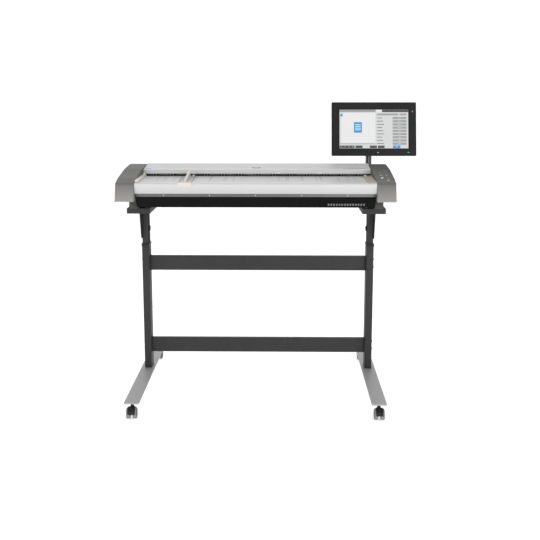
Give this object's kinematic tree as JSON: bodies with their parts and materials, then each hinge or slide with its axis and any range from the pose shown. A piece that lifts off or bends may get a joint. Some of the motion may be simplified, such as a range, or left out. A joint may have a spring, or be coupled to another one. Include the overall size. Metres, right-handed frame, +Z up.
{
  "type": "wide-format scanner",
  "caption": "Wide-format sheet-fed document scanner with an opening lid, on a height-adjustable caster stand, with a tilting touch screen on a post.",
  "frame": {"origin": "centre of the whole object's box in X and Y, on the floor", "axes": "+X to the operator's right along the scanner, +Y away from the operator, +Z up"},
  "size_m": [1.4244, 0.8398, 1.4102],
  "materials": {
    "graphite_shell": "metallic paint, satin",
    "lid_silver": "satin silver",
    "table_pearl": "satin light grey",
    "rail_grey": "satin grey",
    "chassis_black": "fine textured black",
    "stand_charcoal": "powder-coated charcoal",
    "foot_silver": "powder-coated silver",
    "caster_black": "moulded",
    "caster_grey": "moulded tread",
    "guide_beige": "moulded",
    "guide_tan": "moulded",
    "clear_acrylic": "clear",
    "rubber": "matte",
    "white_plastic": "moulded",
    "steel": "zinc-plated",
    "board_green": "solder mask",
    "screen_panel": "lit panel",
    "module_black": "moulded",
    "block_grey": "moulded",
    "case_grey": "zinc-look case",
    "display_black": "fine textured",
    "button_red": "moulded"
  },
  "bodies": {
    "stand_base": {"left_foot": "foot_silver", "right_foot": "foot_silver", "left_column": "stand_charcoal", "right_column": "stand_charcoal", "upper_crossbar": "stand_charcoal", "lower_crossbar": "stand_charcoal"},
    "scanner_body": {"left_bracket": "stand_charcoal", "right_bracket": "stand_charcoal", "left_mounting_block": "block_grey", "right_mounting_block": "block_grey", "base_tray": "chassis_black", "front_table": "table_pearl", "rear_table": "table_pearl", "trim_rail": "rail_grey", "rear_cover": "chassis_black", "power_inlet": "display_black", "left_end_cap": "graphite_shell", "right_end_cap": "graphite_shell", "left_lid_hinge_pin": "steel", "right_lid_hinge_pin": "steel", "drive_belt": "rubber", "feed_motor": "chassis_black", "camera_module_1": "module_black", "camera_module_2": "module_black", "camera_module_3": "module_black", "camera_module_4": "module_black", "light_bar": "white_plastic", "scan_glass": "clear_acrylic", "main_board": "board_green", "power_supply": "case_grey", "left_edge_guide": "guide_beige", "right_edge_guide": "guide_tan", "display_post": "stand_charcoal"},
    "lid": {"lid_shell": "lid_silver", "lid_pressure_plate": "white_plastic"},
    "front_pinch": {"front_pinch_rollers": "white_plastic"},
    "rear_pinch": {"rear_pinch_rollers": "white_plastic"},
    "front_roller": {"front_feed_roller": "rubber"},
    "rear_roller": {"rear_feed_roller": "rubber"},
    "motor_shaft": {"motor_pulley": "steel"},
    "document_guide": {"document_guide_plate": "clear_acrylic", "document_guide_fin": "guide_beige"},
    "display_arm": {"display_yoke": "stand_charcoal"},
    "display_head": {"display_frame": "display_black", "display_screen": "screen_panel", "display_back_cover": "display_black"},
    "button_scan": {"button_scan": "white_plastic"},
    "button_copy": {"button_copy": "white_plastic"},
    "button_feed_forward": {"button_feed_forward": "white_plastic"},
    "button_stop": {"button_stop": "button_red"},
    "button_feed_back": {"button_feed_back": "white_plastic"},
    "button_power": {"button_power": "white_plastic"},
    "front_left_caster": {"front_left_caster_hood": "caster_black"},
    "front_left_wheels": {"front_left_caster_wheels": "caster_grey"},
    "front_right_caster": {"front_right_caster_hood": "caster_black"},
    "front_right_wheels": {"front_right_caster_wheels": "caster_grey"},
    "rear_left_caster": {"rear_left_caster_hood": "caster_black"},
    "rear_left_wheels": {"rear_left_caster_wheels": "caster_grey"},
    "rear_right_caster": {"rear_right_caster_hood": "caster_black"},
    "rear_right_wheels": {"rear_right_caster_wheels": "caster_grey"}
  },
  "joints": [
    {"name": "stand_height", "type": "slide", "parent": "stand_base", "child": "scanner_body", "axis": [0, 0, 1], "range_m": [-0.02, 0.14]},
    {"name": "lid_hinge", "type": "hinge", "parent": "scanner_body", "child": "lid", "pos_m": [-0.08225, 0.18188, 1.086], "axis": [-1, 0, 0], "range_deg": [0, 45]},
    {"name": "document_guide_slide", "type": "slide", "parent": "scanner_body", "child": "document_guide", "axis": [1, 0, 0], "range_m": [-0.175, 0.785]},
    {"name": "display_swivel", "type": "hinge", "parent": "scanner_body", "child": "display_arm", "pos_m": [0.48775, 0.29188, 1.25], "axis": [0, 0, -1], "range_deg": [-45, 45]},
    {"name": "display_tilt", "type": "hinge", "parent": "display_arm", "child": "display_head", "pos_m": [0.49975, 0.23592, 1.26758], "axis": [1, 0, 0], "range_deg": [-20, 16]},
    {"name": "front_roller_spin", "type": "hinge", "parent": "scanner_body", "child": "front_roller", "pos_m": [-0.08225, -0.01812, 1.0535], "axis": [1, 0, 0], "continuous": true},
    {"name": "rear_roller_spin", "type": "hinge", "parent": "scanner_body", "child": "rear_roller", "pos_m": [-0.08225, 0.08388, 1.0535], "axis": [1, 0, 0], "continuous": true},
    {"name": "motor_spin", "type": "hinge", "parent": "scanner_body", "child": "motor_shaft", "pos_m": [-0.64225, 0.03288, 1.005], "axis": [1, 0, 0], "continuous": true},
    {"name": "front_pinch_spin", "type": "hinge", "parent": "lid", "child": "front_pinch", "pos_m": [-0.08225, -0.01812, 1.073], "axis": [1, 0, 0], "continuous": true},
    {"name": "rear_pinch_spin", "type": "hinge", "parent": "lid", "child": "rear_pinch", "pos_m": [-0.08225, 0.08388, 1.073], "axis": [1, 0, 0], "continuous": true},
    {"name": "button_scan_press", "type": "slide", "parent": "scanner_body", "child": "button_scan", "axis": [0, 0.1693, -0.9856], "range_m": [0, 0.0012], "stiffness_N_per_m": 400},
    {"name": "button_copy_press", "type": "slide", "parent": "scanner_body", "child": "button_copy", "axis": [0, 0.1693, -0.9856], "range_m": [0, 0.0012], "stiffness_N_per_m": 400},
    {"name": "button_feed_forward_press", "type": "slide", "parent": "scanner_body", "child": "button_feed_forward", "axis": [0, 0.1693, -0.9856], "range_m": [0, 0.0012], "stiffness_N_per_m": 400},
    {"name": "button_stop_press", "type": "slide", "parent": "scanner_body", "child": "button_stop", "axis": [0, 0.1693, -0.9856], "range_m": [0, 0.0012], "stiffness_N_per_m": 400},
    {"name": "button_feed_back_press", "type": "slide", "parent": "scanner_body", "child": "button_feed_back", "axis": [0, 0.1693, -0.9856], "range_m": [0, 0.0012], "stiffness_N_per_m": 400},
    {"name": "button_power_press", "type": "slide", "parent": "scanner_body", "child": "button_power", "axis": [0, 0.1693, -0.9856], "range_m": [0, 0.0012], "stiffness_N_per_m": 400},
    {"name": "front_left_caster_swivel", "type": "hinge", "parent": "stand_base", "child": "front_left_caster", "pos_m": [-0.64225, -0.37012, 0.066], "axis": [0, 0, 1], "continuous": true},
    {"name": "front_left_wheel_spin", "type": "hinge", "parent": "front_left_caster", "child": "front_left_wheels", "pos_m": [-0.6412, -0.39009, 0.025], "axis": [0.9986, 0.0523, 0], "continuous": true},
    {"name": "front_right_caster_swivel", "type": "hinge", "parent": "stand_base", "child": "front_right_caster", "pos_m": [0.47775, -0.37012, 0.066], "axis": [0, 0, 1], "continuous": true},
    {"name": "front_right_wheel_spin", "type": "hinge", "parent": "front_right_caster", "child": "front_right_wheels", "pos_m": [0.4774, -0.39012, 0.025], "axis": [0.9998, -0.0175, 0], "continuous": true},
    {"name": "rear_left_caster_swivel", "type": "hinge", "parent": "stand_base", "child": "rear_left_caster", "pos_m": [-0.64225, 0.38688, 0.066], "axis": [0, 0, 1], "continuous": true},
    {"name": "rear_left_wheel_spin", "type": "hinge", "parent": "rear_left_caster", "child": "rear_left_wheels", "pos_m": [-0.64434, 0.36699, 0.025], "axis": [0.9945, -0.1045, 0], "continuous": true},
    {"name": "rear_right_caster_swivel", "type": "hinge", "parent": "stand_base", "child": "rear_right_caster", "pos_m": [0.47775, 0.38688, 0.066], "axis": [0, 0, 1], "continuous": true},
    {"name": "rear_right_wheel_spin", "type": "hinge", "parent": "rear_right_caster", "child": "rear_right_wheels", "pos_m": [0.47949, 0.36696, 0.025], "axis": [0.9962, 0.0872, 0], "continuous": true}
  ],
  "couplings": [
    {"joint": "rear_roller_spin", "follows": "front_roller_spin", "ratio": 1},
    {"joint": "motor_spin", "follows": "front_roller_spin", "ratio": 1.5556},
    {"joint": "front_pinch_spin", "follows": "front_roller_spin", "ratio": -1.375},
    {"joint": "rear_pinch_spin", "follows": "front_roller_spin", "ratio": -1.375}
  ]
}
